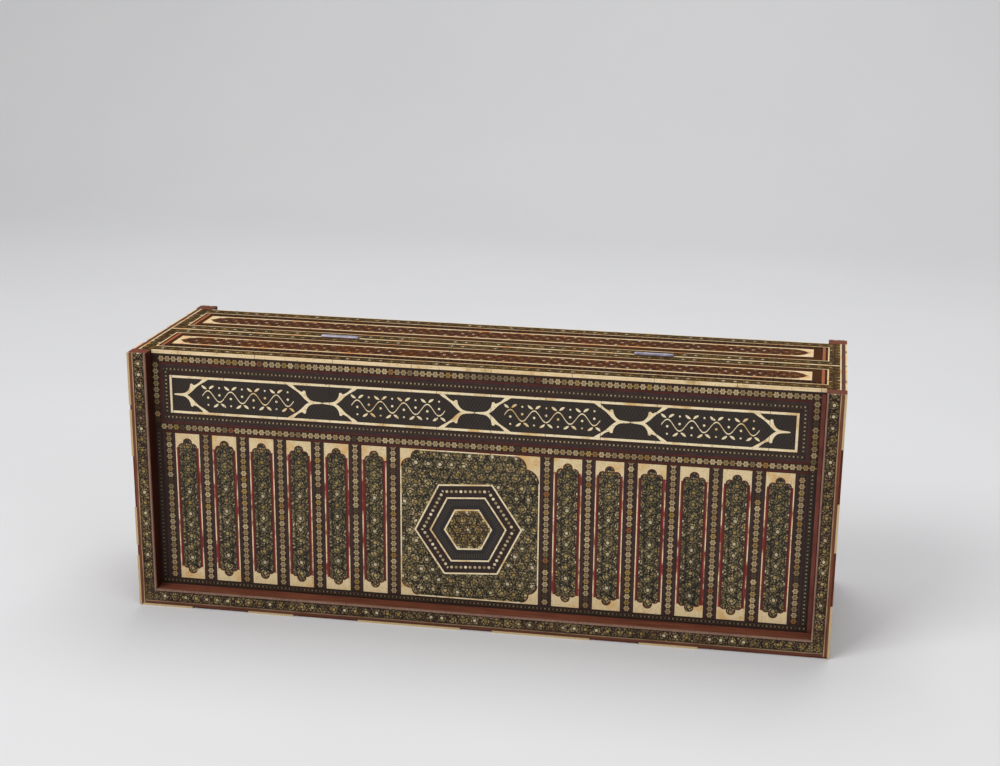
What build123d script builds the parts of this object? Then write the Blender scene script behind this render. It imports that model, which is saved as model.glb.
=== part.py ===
"""Folding nard (backgammon) box, inlaid, standing shut on its long edge. Millimetres.

The box is two mirror-image trays, front and rear, hinged along the middle of the top face.
X runs along the length, Y from front to rear, Z up. The origin is the middle of the footprint.
Every piece is drawn for the front tray and mirrored across the seam for the rear one.
Opened flat, the two top faces meet, and the rims frame one playing board.
"""
from build123d import *
import os
from math import cos, pi, sin

# ---- driving dimensions ------------------------------------------------------------------
length = 560.0            # overall, along X
height = 213.0            # overall, along Z
tray_depth = 86.0         # one tray, from the seam to its rim face
rim = 15.0                # end wall and foot wall thickness, seen as the rim
recess = 14.0             # playing field below the rim face
board_thickness = 10.0
hinge_wall_thickness = 12.0
seam_gap = 0.3            # between the two trays, shut
inlay = 2.0               # thickness of every inlaid sheet and strip
glue = 0.05               # glue line around every inlaid piece

# rim face, each strip's width, counted inwards from the outer edge
edging_width = 1.7
edging_gap = 0.2
# the lengths of edging that are left: shares of the height, of the top face's depth and of the half length
edging_left = ((0, 0.2), (0.245, 0.395), (0.6, 0.78), (0.8, 1))
edging_right = ((0, 0.206), (0.413, 0.596), (0.8, 1))
end_edging = ((0, 0.3), (0.42, 0.96))
edging_foot = ((-0.99, -0.84), (-0.67, -0.535), (-0.343, -0.043), (0.05, 0.33), (0.47, 0.636))
rim_wood_width = 2.9
rim_mosaic_width = 8.2
bead_width = 1.3

# top face
arris_height = 2.6        # bone strip along the field's upper edge
arris_depth = 1.4
# joints of that strip, as shares of the field's half length
arris_joints = (-1, -0.73, -0.68, -0.583, -0.472, -0.27, -0.22, 0.02, 0.25, 0.5, 0.725, 0.81, 0.906, 1)
top_mosaic_width = 11.0   # long sides of the top border
cross_mosaic_width = 8.2  # its short sides
end_edging_width = 1.4    # bone edging along each end of the top
end_wood_width = 2.6      # red wood strip inside it
top_line_width = 1.1
cartouche_left_gap = 23.4 # from the left end of the box
cartouche_right_gap = 26.8
cartouche_half_width = 12.9
cartouche_frame_width = 2.4
cartouche_taper = 16.0    # length of its pointed ends
cartouche_tip_gap = 2.0
end_bar_offset = 17.2     # red bar near each end of the top face
end_bar_width = 2.2
end_bar_gap = 1.2         # from the bone lines beside it

# end faces
end_margin = 6.5
end_mosaic_width = 9.0
end_bone_width = 1.2

# playing field, upper panel
side_strip_width = 3.0    # red strip beside the right rim
star_width = 5.2
red_width = 0.9
purple_width = 2.1
dot_width = 3.6
strip_gap = 0.2           # ground wood between neighbouring strips
ring_gap = 0.5
left_ring_gap = 0.2       # star ring to the left end wall
right_ring_gap = 3.9
head_ring_gap = 1.5       # star ring to the bone strip above it
upper_panel_height = 61.4
left_ground = 1.2         # dark ground between the dot ring and the panel's bone frame
right_ground = 2.7
foot_ground = 1.8
head_ground = 3.2
panel_frame_width = 1.9
first_waist_gap = 3.3     # panel edge to the waist of the first bracket
last_waist_gap = 5.7
bracket_count = 5
# outline of half a bracket, from its waist out to the frame and back
bracket_waist = ((0, 0.4), (5.0, 0.9), (9.4, 1.9), (12.4, 5.0), (13.4, 9.0))
bracket_cusp = ((13.4, 9.0), (14.9, 9.4), (16.1, 8.2))
bracket_arm = ((16.1, 8.2), (19.0, 9.4), (21.6, 11.4))
bracket_top = (23.6, 28.4)
bracket_inside = ((23.6, 10.4), (19.1, 7.4), (14.9, 3.2), (10.8, 0))
vine_end_gap = 23.5       # waist of a bracket to the end of the vine beside it
vine_waves = 4
vine_swing = 4.4
vine_half_width = 0.5
vine_steps = 64
leaf_size = 5.2
leaf_leans = (35, 145)
leaf_stalk = 1.1
berry_radii = ((1.2, 0.95), (7.2, 0.75))  # distance below the middle, radius

# playing field, lower panel
cell_head_gap = 2.5       # star ring to the cells below it
cell_foot_gap = 6.0       # foot wall to the cells above it
left_column_gap = 11.1    # edge of the star ring to the first star column
right_column_gap = 10.2
cells_a_side = 6
cell_margin = 0.55        # ground wood either side of a cell
column_purple_width = 2.0
side_dot_width = 5.4
foot_dot_gap = 1.0
foot_dot_height = 4.4

# one cell
string_width = 0.9
border_width = 0.9
spandrel_top = 11.6       # height of the bone block at the head of a cell
spandrel_foot = 10.2
head_shoulder = 8.1       # from the cell's top down to the mosaic's shoulder
head_lobe = 3.8           # from the cell's top down to the tip of its middle lobe
foot_shoulder = 8.6
foot_lobe = 4.1
lobe_radius = 3.8
side_lobe_radius = 3.4
cusp_drop = 0.5

# medallion
medallion_width = 111.8
medallion_offset = -7.5   # its middle, from the middle of the box
medallion_left_gap = 5.8  # its left edge to the star column beside it
medallion_right_gap = 5.5
medallion_string = 1.0
corner_sizes = ((-1, 1, 14.0, 15.0), (1, 1, 17.5, 22.0), (1, -1, 12.5, 16.0), (-1, -1, 14.5, 13.0))
hexagon_shift = -1.1      # from the middle of the medallion
hexagon_drop = 2.5
hexagon_turn = 3.6
hexagon_line = 1.25
hexagon_radii = (43.6, 31.2, 19.6)

# hinges
hinge_places = (-130.5, 127.5)
hinge_length = 31.0
knuckle_shares = (0.30, 0.40, 0.30)
knuckle_radius = 1.9
pin_radius = 0.8
pin_clearance = 0.05
knuckle_clearance = 0.3
leaf_thickness = 1.0
leaf_height = 10.0
nail_radius = 0.8
nail_length = 7.0
nail_head_radius = 1.7
nail_spread = 0.34        # share of the hinge's length from its middle to each nail
nail_drop = 5.8           # from the hinge's axis

# ---- places worked out from the sizes ------------------------------------------------------
rim_y = -tray_depth
field_y = rim_y + recess
seam_y = -seam_gap / 2
axis_z = height + seam_gap / 2
inner_x = length / 2 - rim
top_bed = height - inlay

star_ring_left = -inner_x + left_ring_gap
star_ring_right = inner_x - right_ring_gap
star_ring_high = height - arris_height - head_ring_gap
star_ring_low = star_ring_high - upper_panel_height
strips_inset = star_width + ring_gap + red_width + purple_width + dot_width + 2 * strip_gap
panel_left = star_ring_left + strips_inset + left_ground
panel_right = star_ring_right - strips_inset - right_ground
panel_low = star_ring_low + strips_inset + foot_ground
panel_high = star_ring_high - strips_inset - head_ground

cell_low = rim + cell_foot_gap
cell_high = star_ring_low - cell_head_gap
medallion_left = medallion_offset - medallion_width / 2
medallion_right = medallion_offset + medallion_width / 2
hexagon_x = medallion_offset + hexagon_shift
hexagon_z = (cell_low + cell_high) / 2 - hexagon_drop


# ---- helpers ---------------------------------------------------------------------------------
def block(x0, x1, y0, y1, z0, z1):
    """Box between two corners."""
    centre = Pos((x0 + x1) / 2, (y0 + y1) / 2, (z0 + z1) / 2)
    return centre * Box(x1 - x0, y1 - y0, z1 - z0)


def area(x0, x1, v0, v1):
    """Rectangle between two corners of a sketch."""
    return Pos((x0 + x1) / 2, (v0 + v1) / 2) * Rectangle(x1 - x0, v1 - v0)


def field_sheet(sketch):
    """Sketch drawn in X and Z, made a sheet let in flush with the playing field."""
    plane = Plane(origin=(0, field_y, 0), x_dir=(1, 0, 0), z_dir=(0, -1, 0))
    return extrude(plane * sketch, -inlay)


def top_sheet(sketch):
    """Sketch drawn in X and Y, made a sheet let in flush with the top face."""
    return extrude(Plane(origin=(0, 0, height)) * sketch, -inlay + glue)


def field_strip(x0, x1, z0, z1):
    return block(x0, x1, field_y, field_y + inlay, z0, z1)


def field_pocket(x0, x1, z0, z1):
    """Room for a sheet in the playing board, with its glue line."""
    return block(x0 - glue, x1 + glue, field_y - 1, field_y + inlay + glue, z0 - glue, z1 + glue)


def frame_strips(x0, x1, z0, z1, width):
    """Four strips round a rectangle, long ones above and below."""
    return [(x0, x1, z1 - width, z1), (x0, x1, z0, z0 + width),
            (x0, x0 + width, z0 + width + glue, z1 - width - glue),
            (x1 - width, x1, z0 + width + glue, z1 - width - glue)]


def shrink(box, step):
    x0, x1, z0, z1 = box
    return (x0 + step, x1 - step, z0 + step, z1 - step)


def rim_ring(inset, width):
    """Left, foot and right strips of the rim face, mitre-free, open at the hinge side."""
    near, far = inset, inset + width
    half = length / 2
    side = [(-half + near, -half + far), (half - far, half - near)]
    strips = [block(x0, x1, rim_y, rim_y + inlay - glue, near, height) for x0, x1 in side]
    strips.append(block(-half + far + glue, half - far - glue, rim_y, rim_y + inlay - glue, near, far))
    return strips


def spaced(first, last, steps):
    """Even places from first to last."""
    return [first + (last - first) * k / steps for k in range(steps + 1)]


# ---- layout of the playing field ---------------------------------------------------------------
def star_columns():
    """Centres of the vertical star bands, left group and right group."""
    left = spaced(star_ring_left + left_column_gap, medallion_left - medallion_left_gap, cells_a_side)
    right = spaced(medallion_right + medallion_right_gap, star_ring_right - right_column_gap, cells_a_side)
    return left, right


def cells():
    """Centre and width of every cell."""
    column = star_width + 2 * (strip_gap + column_purple_width + cell_margin)
    found = []
    for group in star_columns():
        found += [((a + b) / 2, b - a - column) for a, b in zip(group, group[1:])]
    return found


def field_layout():
    """Rectangles of all straight strips of the field, by the kind of strip."""
    star_box = (star_ring_left, star_ring_right, star_ring_low, star_ring_high)
    red_box = shrink(star_box, star_width + ring_gap)
    purple_box = shrink(red_box, red_width + strip_gap)
    dot_box = shrink(purple_box, purple_width + strip_gap)
    strips = {
        "star_bands": frame_strips(*star_box, star_width),
        "red_strips": frame_strips(*red_box, red_width),
        "purple_strips": frame_strips(*purple_box, purple_width),
        "dot_bands": frame_strips(*dot_box, dot_width),
    }
    reach = star_width / 2 + strip_gap
    for column in sum(star_columns(), []):
        strips["star_bands"].append((column - star_width / 2, column + star_width / 2, cell_low, cell_high))
        for edge in (column - reach - column_purple_width, column + reach):
            strips["purple_strips"].append((edge, edge + column_purple_width, cell_low, cell_high))
    red_middle = (star_ring_low + cell_high) / 2
    strips["red_strips"].append((star_ring_left + side_dot_width, star_ring_right - side_dot_width,
                                 red_middle - red_width / 2, red_middle + red_width / 2))
    strips["red_strips"].append((inner_x - ring_gap / 2 - side_strip_width, inner_x - ring_gap / 2,
                                 rim + ring_gap, star_ring_high))
    strips["dot_bands"] += [
        (star_ring_left, star_ring_left + side_dot_width, cell_low, star_ring_low - ring_gap),
        (star_ring_right - side_dot_width, star_ring_right, cell_low, star_ring_low - ring_gap),
        (star_ring_left, star_ring_right, rim + foot_dot_gap, rim + foot_dot_gap + foot_dot_height)]
    return strips


# ---- one cell ------------------------------------------------------------------------------------
def cell_opening(centre, width, inset):
    """Lobed outline of a cell's mosaic: straight sides, three lobes at head and foot."""
    half = width / 2 - 2 * (string_width + strip_gap) - inset
    shape = area(centre - half, centre + half, cell_low + foot_shoulder + side_lobe_radius,
                 cell_high - head_shoulder - side_lobe_radius)
    ends = ((1, cell_high - head_shoulder, cell_high - head_lobe),
            (-1, cell_low + foot_shoulder, cell_low + foot_lobe))
    for way, shoulder, tip in ends:
        lobe_z = shoulder - way * side_lobe_radius
        lobe_x = half + inset - side_lobe_radius
        flat = shoulder - way * (cusp_drop + inset)
        shape += area(centre - lobe_x, centre + lobe_x, *sorted((lobe_z - way * 2, flat)))
        for side in (-1, 1):
            shape += Pos(centre + side * lobe_x, lobe_z) * Circle(side_lobe_radius - inset)
        shape += Pos(centre, tip - way * lobe_radius) * Circle(lobe_radius - inset)
    return shape


def cell_sheets(centre, width):
    """Mosaic, lobed border, bone spandrels and side stringing of one cell."""
    half = width / 2
    opening = cell_opening(centre, width, 0)
    room = cell_opening(centre, width, -glue)
    border = opening - cell_opening(centre, width, border_width)
    mosaic = cell_opening(centre, width, border_width + glue)
    head = area(centre - half, centre + half, cell_high - spandrel_top, cell_high) - room
    foot = area(centre - half, centre + half, cell_low, cell_low + spandrel_foot) - room
    low = cell_low + spandrel_foot + glue
    high = cell_high - spandrel_top - glue
    bone, red = [], []
    for side in (-1, 1):
        outer = centre + side * half
        middle = outer - side * (string_width + strip_gap)
        bone.append(field_strip(*sorted((outer, outer - side * string_width)), low, high))
        red.append(field_strip(*sorted((middle, middle - side * string_width)), low, high))
    return mosaic, border, head, foot, bone, red


# ---- the medallion ---------------------------------------------------------------------------------
def corner_cut(way_x, way_z, width, reach, grow):
    """Cusped corner: the square left over by two circles, grown by grow."""
    corner_x = medallion_right if way_x > 0 else medallion_left
    corner_z = cell_high if way_z > 0 else cell_low
    big, small = 0.51 * reach, 0.41 * reach
    near_x, near_z = 0.6 * width + small, 0.45 * reach
    far_x = big + 0.5

    def spot(u, v):
        return Pos(corner_x - way_x * u, corner_z - way_z * v)

    def patch(u0, u1, v0, v1):
        return spot((u0 + u1) / 2, (v0 + v1) / 2) * Rectangle(u1 - u0, v1 - v0)

    shape = patch(0, near_x, 0, reach)
    shape -= spot(near_x, near_z) * Circle(small - grow)
    shape -= spot(far_x, reach) * Circle(big - grow)
    return shape - patch(far_x, near_x + 1, near_z, reach + 1)


def medallion_sheets():
    """Mosaic ground, bone corners, their red borders and the bone lines along the sides."""
    inset = medallion_string + strip_gap
    mosaic = area(medallion_left + inset, medallion_right - inset, cell_low + inset, cell_high - inset)
    corners, borders = [], []
    for way_x, way_z, width, reach in corner_sizes:
        corner = corner_cut(way_x, way_z, width, reach, 0)
        corners += (corner & panel_area()).faces()
        wide = corner_cut(way_x, way_z, width, reach, border_width)
        borders += ((wide - corner_cut(way_x, way_z, width, reach, glue)) & mosaic).faces()
        mosaic -= corner_cut(way_x, way_z, width, reach, border_width + glue)
    return mosaic - hexagon(hexagon_radii[0] + glue), corners, borders


def panel_area():
    return area(medallion_left, medallion_right, cell_low, cell_high)


def medallion_lines():
    """Bone lines between the corners, one a side."""
    sizes = {(way_x, way_z): (0.6 * width + 0.41 * reach, reach)
             for way_x, way_z, width, reach in corner_sizes}
    left, right = medallion_left, medallion_right
    spare = 3 * glue
    lines = []
    for way_z, edge in ((1, cell_high), (-1, cell_low)):
        x0 = left + sizes[(-1, way_z)][0] + spare
        x1 = right - sizes[(1, way_z)][0] - spare
        lines.append(field_strip(x0, x1, *sorted((edge, edge - way_z * medallion_string))))
    for way_x, edge in ((1, right), (-1, left)):
        z0 = cell_low + sizes[(way_x, -1)][1] + spare
        z1 = cell_high - sizes[(way_x, 1)][1] - spare
        lines.append(field_strip(*sorted((edge, edge - way_x * medallion_string)), z0, z1))
    return lines


def hexagon(radius):
    return Pos(hexagon_x, hexagon_z) * Rot(0, 0, hexagon_turn) * RegularPolygon(radius, 6)


def hexagon_sheets():
    """Three bone hexagons, the two wooden bands between them, and the middle mosaic."""
    line = hexagon_line / cos(pi / 6)
    lines = [hexagon(radius) - hexagon(radius - line) for radius in hexagon_radii]
    bands = [hexagon(outer - line - glue) - hexagon(inner + glue)
             for outer, inner in zip(hexagon_radii, hexagon_radii[1:])]
    return lines, bands, hexagon(hexagon_radii[-1] - line - glue)


# ---- the inscription panel, with a vine in place of words ---------------------------------------------
def half_bracket():
    """Half of a cusped bone bracket, its waist at the origin, opening towards +X."""
    top = (panel_high - panel_low) / 2 - panel_frame_width - glue
    start, end = bracket_top
    edges = Curve() + [
        Line((0, 0), bracket_waist[0]),
        Spline(*bracket_waist),
        Spline(*bracket_cusp),
        Spline(*bracket_arm, (start, top)),
        Line((start, top), (end, top)),
        Spline((end, top), *bracket_inside),
        Line(bracket_inside[-1], (0, 0))]
    upper = make_face(edges)
    return upper + mirror(upper, Plane.XZ)


def leaf(x, z, turn, size):
    """Pointed vine leaf, two arcs over its own midrib."""
    side = ThreePointArc((0, 0), (0.45 * size, 0.24 * size), (size, 0))
    other = ThreePointArc((size, 0), (0.55 * size, -0.12 * size), (0, 0))
    return Pos(x, z) * Rot(0, 0, turn) * make_face(Curve() + [side, other])


def vine(centre_x, centre_z, half_span):
    """Waving stem with a leaf at every crest and a berry in every trough."""
    spine = [(-half_span + 2 * half_span * k / vine_steps,
              vine_swing * sin(2 * pi * vine_waves * k / vine_steps)) for k in range(vine_steps + 1)]
    stem = Spline([(x, z + vine_half_width) for x, z in spine])
    back = Spline([(x, z - vine_half_width) for x, z in reversed(spine)])
    ends = [Line(stem @ 1, back @ 0), Line(back @ 1, stem @ 0)]
    shapes = [Pos(centre_x, centre_z) * make_face(Curve() + [stem, back] + ends)]
    crest = vine_swing + vine_half_width + leaf_size / 6
    for k in range(2 * vine_waves):
        x = centre_x - half_span + (k + 0.5) * half_span / vine_waves
        way = 1 if k % 2 == 0 else -1
        for lean in leaf_leans:
            stalk = leaf_stalk * cos(lean * pi / 180)
            shapes.append(leaf(x + stalk, centre_z + way * crest, way * lean, leaf_size))
        for drop, radius in berry_radii:
            shapes.append(Pos(x, centre_z - way * drop) * Circle(radius))
    return shapes


def panel_sheets():
    """Bone brackets and vines, and the dark ground cut away round them."""
    middle_z = (panel_low + panel_high) / 2
    shapes = []
    right = half_bracket()
    left = mirror(right, Plane.YZ)
    waists = spaced(panel_left + first_waist_gap, panel_right - last_waist_gap, bracket_count - 1)
    half_pitch = (waists[1] - waists[0]) / 2
    for k, waist in enumerate(waists):
        if k < bracket_count - 1:
            shapes.append(Pos(waist + strip_gap, middle_z) * right)
            shapes += vine(waist + half_pitch, middle_z, half_pitch - vine_end_gap)
        if k > 0:
            shapes.append(Pos(waist - strip_gap, middle_z) * left)
    return shapes


# ---- the two trays ---------------------------------------------------------------------------------------
def knuckle_room(radius):
    """Cylinders round both hinge axes, as long as the hinges with their clearance."""
    rooms = []
    for place in hinge_places:
        bar = Cylinder(radius, hinge_length + 2 * knuckle_clearance)
        rooms.append(Pos(place, 0, axis_z) * Rot(0, 90, 0) * bar)
    return rooms


def leaf_room():
    """Shallow seats of the hinge leaves in the front tray's mating face."""
    half = hinge_length / 2 + knuckle_clearance
    return [block(place - half, place + half, seam_y - leaf_thickness - glue, 1,
                  axis_z - leaf_height - glue, height + 1) for place in hinge_places]


def nail_spots():
    """X and Z of every nail of both hinges."""
    return [(place + side * nail_spread * hinge_length, axis_z - nail_drop)
            for place in hinge_places for side in (-1, 1)]


def carcass(pockets):
    """Five boards of one tray: playing board, hinge wall, foot wall and two end walls."""
    room = knuckle_room(knuckle_radius + knuckle_clearance)
    board = block(-inner_x + glue, inner_x - glue, field_y, field_y + board_thickness, rim + glue, top_bed)
    board -= pockets
    board -= block(-inner_x, inner_x, field_y - 1, field_y + arris_depth + glue,
                   height - arris_height - glue, height)
    hinge_wall = block(-inner_x + glue, inner_x - glue, field_y + board_thickness + glue, seam_y,
                       top_bed - hinge_wall_thickness, top_bed)
    hinge_wall -= leaf_room() + room
    for x, z in nail_spots():
        hole = Cylinder(nail_radius + glue, nail_length)
        hinge_wall -= Pos(x, seam_y - nail_length / 2, z) * Rot(90, 0, 0) * hole
    foot_wall = block(-inner_x + glue, inner_x - glue, rim_y + inlay, seam_y, 0, rim)
    end_wall = block(inner_x, length / 2, rim_y + inlay, seam_y, 0, height)
    end_wall -= block(inner_x - 1, length / 2 + 1, field_y, 1, top_bed, height + 1)
    bone_inset = end_margin + end_mosaic_width + strip_gap
    for inset, width in ((end_margin, end_mosaic_width), (bone_inset, end_bone_width)):
        end_wall -= end_ring(inset - glue, width + 2 * glue, inlay + glue)
    return {"playing_board": [board], "hinge_wall": [hinge_wall], "foot_wall": [foot_wall],
            "right_end_wall": [end_wall], "left_end_wall": [mirror(end_wall, Plane.YZ)]}


def end_ring(inset, width, depth):
    """Rectangular ring let into the right end face."""
    low, high = rim_y + inlay + inset - end_margin / 2, seam_y - inset + end_margin / 2
    outer = block(length / 2 - depth, length / 2, low, high, inset, top_bed - inset)
    inner = block(length / 2 - depth - 1, length / 2 + 1, low + width, high - width,
                  inset + width, top_bed - inset - width)
    return outer - inner


def rim_pieces():
    """Strips laid side by side on the rim face."""
    wood_inset = edging_width + edging_gap
    mosaic_inset = wood_inset + rim_wood_width + strip_gap
    bead_inset = mosaic_inset + rim_mosaic_width + strip_gap
    return {"rim_wood_strip": rim_ring(wood_inset, rim_wood_width),
            "rim_mosaic": rim_ring(mosaic_inset, rim_mosaic_width),
            "rim_edging": rim_ring(bead_inset, bead_width) + edging_pieces()}


def edging_pieces():
    """Bone edging along the rim's outer arris, in the lengths that are left of it."""
    half = length / 2
    y = (rim_y, rim_y + inlay - glue)
    pieces = [block(-half, -half + edging_width, *y, low * height, high * height)
              for low, high in edging_left]
    pieces += [block(half - edging_width, half, *y, low * height, high * height)
               for low, high in edging_right]
    return pieces + [block(x0 * half, x1 * half, *y, 0, edging_width) for x0, x1 in edging_foot]


def arris_pieces():
    """Bone strip along the upper edge of the field, pieced end to end."""
    joints = [share * inner_x for share in arris_joints]
    return [block(x0 + glue, x1 - glue, field_y, field_y + arris_depth, height - arris_height, height)
            for x0, x1 in zip(joints, joints[1:])]


def top_pieces():
    """Mosaic border, bone lines and the long pointed cartouche of the top face."""
    half = length / 2
    front = field_y + arris_depth + glue
    back = seam_y - top_line_width - strip_gap
    wood = half - end_edging_width - strip_gap
    line = wood - end_wood_width - strip_gap
    cross = line - top_line_width - strip_gap
    outer = area(-cross, cross, front, back)
    inner = area(-cross + cross_mosaic_width, cross - cross_mosaic_width,
                 front + top_mosaic_width, back - top_mosaic_width)
    mosaic = outer - inner
    step = strip_gap
    line_outer = area(-cross + cross_mosaic_width + step, cross - cross_mosaic_width - step,
                      front + top_mosaic_width + step, back - top_mosaic_width - step)
    line_inset = step + top_line_width
    line_inner = area(-cross + cross_mosaic_width + line_inset, cross - cross_mosaic_width - line_inset,
                      front + top_mosaic_width + line_inset, back - top_mosaic_width - line_inset)
    middle = (front + back) / 2
    bones = (line_outer - line_inner).faces()
    bones += (cartouche(middle, 0) - cartouche_fill(middle, 0)).faces()
    bones.append(area(-cross, cross, seam_y - top_line_width, seam_y))
    for side in (-1, 1):
        bones.append(area(*sorted((side * line, side * (line - top_line_width))), field_y, seam_y))
        bones += [area(*sorted((side * half, side * (half - end_edging_width))), y0, y1)
                  for y0, y1 in edging_lengths()]
    fill = cartouche_fill(middle, glue)
    reach = (back - front) / 2 - top_mosaic_width - line_inset - end_bar_gap
    bars = [area(*sorted((side * (half - end_bar_offset), side * (half - end_bar_offset - end_bar_width))),
                 middle - reach, middle + reach) for side in (-1, 1)]
    ground = line_inner
    for shape in [cartouche(middle, -glue)] + [offset(bar, glue, kind=Kind.INTERSECTION) for bar in bars]:
        ground -= shape
    ground = offset(ground.faces()[0], -glue, kind=Kind.INTERSECTION)
    bars += [area(*sorted((side * wood, side * (wood - end_wood_width))), field_y, seam_y)
             for side in (-1, 1)]
    return mosaic, bones, fill, bars, ground


def edging_lengths():
    """Start and end of each length of bone edging left along the ends of the top face."""
    return [(field_y + share0 * (seam_y - field_y), field_y + share1 * (seam_y - field_y))
            for share0, share1 in end_edging]


def cartouche_ends():
    return -length / 2 + cartouche_left_gap, length / 2 - cartouche_right_gap


def cartouche(middle, inset):
    left, right = cartouche_ends()
    return area(left + inset, right - inset,
                middle - cartouche_half_width + inset, middle + cartouche_half_width - inset)


def cartouche_fill(middle, inset):
    """Long lozenge with ogee points, inside the bone frame."""
    left, right = cartouche_ends()
    side = cartouche_half_width - cartouche_frame_width - inset
    start, end = left + cartouche_taper, right - cartouche_taper
    tip = cartouche_taper - cartouche_tip_gap - 2 * inset
    corner = Spline((0, side), (tip / 2 + 2.2, 0.52 * side), (tip, 0), tangents=((1, -0.15), (1, -0.5)))
    lower = mirror(corner, Plane.XZ)
    edges = [Pos(end, 0) * corner, Pos(end, 0) * lower,
             Pos(start, 0) * mirror(corner, Plane.YZ), Pos(start, 0) * mirror(lower, Plane.YZ),
             Line((start, side), (end, side)), Line((start, -side), (end, -side))]
    return Pos(0, middle) * make_face(Curve() + edges)


def half_pieces():
    """Every piece of the front tray, by name."""
    strips = field_layout()
    pieces = {kind: [field_strip(*box) for box in boxes] for kind, boxes in strips.items()}
    pockets = [field_pocket(*box) for boxes in strips.values() for box in boxes]
    pieces.update({"cell_mosaics": [], "cell_borders": [], "cell_spandrels": [], "cell_strings": []})
    for centre, width in cells():
        mosaic, border, head, foot, bone, red = cell_sheets(centre, width)
        pieces["cell_mosaics"].append(field_sheet(mosaic))
        pieces["cell_borders"].append(field_sheet(border))
        pieces["cell_spandrels"] += [field_sheet(head), field_sheet(foot)]
        pieces["cell_strings"] += bone
        pieces["red_strips"] += red
        pockets.append(field_pocket(centre - width / 2, centre + width / 2, cell_low, cell_high))
    ground, corners, borders = medallion_sheets()
    lines, bands, middle = hexagon_sheets()
    pieces["cell_borders"] += [field_sheet(face) for face in borders]
    pieces["medallion_mosaic"] = [field_sheet(ground), field_sheet(middle)]
    pieces["cell_spandrels"] += [field_sheet(face) for face in corners]
    pieces["hexagon_lines"] = [field_sheet(shape) for shape in lines] + medallion_lines()
    pieces["hexagon_bands"] = [field_sheet(shape) for shape in bands]
    pockets.append(field_pocket(medallion_left, medallion_right, cell_low, cell_high))
    panel_box = (panel_left, panel_right, panel_low, panel_high)
    frame = frame_strips(*panel_box, panel_frame_width)
    inside = shrink(panel_box, panel_frame_width + glue)
    shapes = panel_sheets()
    pieces["panel_inlay"] = [field_strip(*box) for box in frame] + [field_sheet(shape) for shape in shapes]
    panel_ground = area(*inside)
    for shape in shapes:
        panel_ground -= shape
    pieces["panel_ground"] = [field_sheet(face) for face in panel_ground.faces()]
    pockets.append(field_pocket(*panel_box))
    pieces.update(carcass(pockets))
    pieces.update(rim_pieces())
    pieces["arris_strip"] = arris_pieces()
    mosaic, bones, fill, bars, ground = top_pieces()
    room = knuckle_room(knuckle_radius + knuckle_clearance)
    leaves = leaf_room()
    pieces["top_mosaic"] = [top_sheet(mosaic) - room - leaves]
    pieces["top_lines"] = [solid for shape in bones for solid in (top_sheet(shape) - room - leaves).solids()]
    pieces["top_cartouche"] = [top_sheet(fill)]
    pieces["top_ground"] = [top_sheet(ground)]
    pieces["red_strips"] += [top_sheet(bar) for bar in bars]
    rings = [end_ring(end_margin, end_mosaic_width, inlay),
             end_ring(end_margin + end_mosaic_width + strip_gap, end_bone_width, inlay)]
    pieces["end_mosaics"] = [rings[0], mirror(rings[0], Plane.YZ)]
    pieces["rim_edging"] += [rings[1], mirror(rings[1], Plane.YZ)]
    return pieces


# ---- hinges -----------------------------------------------------------------------------------------------
def knuckle_spans(place):
    """Start and end of each knuckle of one hinge, with running room between them."""
    spans, start = [], place - hinge_length / 2
    for share in knuckle_shares:
        end = start + share * hinge_length
        spans.append((start, end - pin_clearance * 2))
        start = end
    return spans


def hinge_leaf(place, side, own):
    """One leaf: a plate against its tray's mating face, and its own knuckles round the pin."""
    near, far = seam_gap / 2, seam_gap / 2 + leaf_thickness
    y = sorted((side * near, side * far))
    spans = knuckle_spans(place)
    plate = block(spans[0][0], spans[-1][1], *y, axis_z - leaf_height, axis_z)
    for k, (x0, x1) in enumerate(spans):
        centre = (x0 + x1) / 2
        if k in own:
            plate += Pos(centre, 0, axis_z) * Rot(0, 90, 0) * Cylinder(knuckle_radius, x1 - x0)
        else:
            gap = knuckle_radius + knuckle_clearance
            plate -= block(x0 - pin_clearance * 2, x1 + pin_clearance * 2, -far - 1, far + 1,
                           axis_z - gap, axis_z + 1)
    plate -= Pos(place, 0, axis_z) * Rot(0, 90, 0) * Cylinder(pin_radius + pin_clearance, hinge_length * 2)
    for x, z in nail_spots():
        plate -= Pos(x, side * (near + far) / 2, z) * Rot(-side * 90, 0, 0) * Cone(
            nail_head_radius + glue, nail_radius + glue, leaf_thickness)
    return plate


def hinge_pieces():
    """Leaves, pins and nails of both hinges. The pin stays in the rear leaf's knuckles."""
    front = [hinge_leaf(place, -1, (1,)) for place in hinge_places]
    rear = [hinge_leaf(place, 1, (0, 2)) for place in hinge_places]
    pins = [Pos(place, 0, axis_z) * Rot(0, 90, 0) * Cylinder(pin_radius, hinge_length)
            for place in hinge_places]
    nails = [nail(x, z) for x, z in nail_spots()]
    return {"front_hinge_leaves": front, "rear_hinge_leaves": rear, "hinge_pins": pins,
            "front_hinge_nails": nails, "rear_hinge_nails": [mirror(piece, Plane.XZ) for piece in nails]}


def nail(x, z):
    """Round nail, its flat head countersunk flush in the leaf."""
    neck = seam_y - leaf_thickness
    tip = seam_y - nail_length + glue
    cone = Cone(nail_head_radius, nail_radius, leaf_thickness)
    head = Pos(x, (seam_y + neck) / 2, z) * Rot(90, 0, 0) * cone
    return head + Pos(x, (neck + tip) / 2, z) * Rot(90, 0, 0) * Cylinder(nail_radius, neck - tip)


def write(name, solids):
    flat = [solid for piece in solids for solid in piece.solids()]
    export_step(Compound(children=flat), os.path.join("parts", name + ".step"))


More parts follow.
